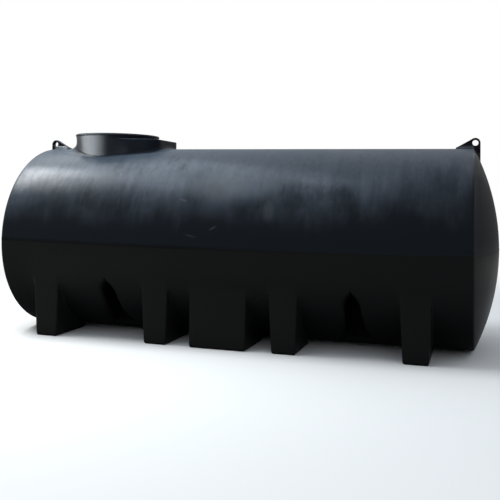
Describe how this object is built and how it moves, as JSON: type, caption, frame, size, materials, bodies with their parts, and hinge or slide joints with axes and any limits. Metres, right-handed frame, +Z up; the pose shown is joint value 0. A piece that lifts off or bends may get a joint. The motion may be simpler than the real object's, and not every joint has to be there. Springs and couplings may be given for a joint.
{
  "type": "horizontal water tank",
  "caption": "Long horizontal water tank, round in section with domed ends, standing on moulded feet, with a low manway and lifting lugs.",
  "frame": {"origin": "on the ground under the middle of the tank", "axes": "+X along the tank away from the manway, +Y across it towards the rear, +Z up"},
  "size_m": [5.28, 2, 2.16],
  "materials": {
    "tank_skin": "satin moulded polyethylene",
    "foot_skin": "satin moulded polyethylene",
    "neck_skin": "satin moulded polyethylene",
    "lid_plastic": "satin moulded polyethylene",
    "lug_plastic": "satin moulded polyethylene"
  },
  "bodies": {
    "root": {"centre_block_front": "foot_skin", "centre_block_rear": "foot_skin", "end_left": "tank_skin", "end_right": "tank_skin", "foot_front_1": "foot_skin", "foot_front_2": "foot_skin", "foot_front_3": "foot_skin", "foot_front_4": "foot_skin", "foot_rear_1": "foot_skin", "foot_rear_2": "foot_skin", "foot_rear_3": "foot_skin", "foot_rear_4": "foot_skin", "hatch_ledge": "neck_skin", "lifting_lug_left": "lug_plastic", "lifting_lug_right": "lug_plastic", "manway_lid": "lid_plastic", "manway_neck": "neck_skin", "pocket_front_1": "tank_skin", "pocket_front_2": "tank_skin", "pocket_rear_1": "tank_skin", "pocket_rear_2": "tank_skin", "wall_belly": "tank_skin", "wall_crown": "tank_skin", "wall_flank_front": "tank_skin", "wall_flank_rear": "tank_skin", "wall_haunch_front_1": "tank_skin", "wall_haunch_front_2": "tank_skin", "wall_haunch_front_3": "tank_skin", "wall_haunch_front_4": "tank_skin", "wall_haunch_front_5": "tank_skin", "wall_haunch_front_6": "tank_skin", "wall_haunch_front_7": "tank_skin", "wall_haunch_front_8": "tank_skin", "wall_haunch_rear_1": "tank_skin", "wall_haunch_rear_2": "tank_skin", "wall_haunch_rear_3": "tank_skin", "wall_haunch_rear_4": "tank_skin", "wall_haunch_rear_5": "tank_skin", "wall_haunch_rear_6": "tank_skin", "wall_haunch_rear_7": "tank_skin", "wall_haunch_rear_8": "tank_skin", "wall_shoulder_front": "tank_skin", "wall_shoulder_rear": "tank_skin", "wall_side_front": "tank_skin", "wall_side_rear": "tank_skin"}
  },
  "joints": []
}
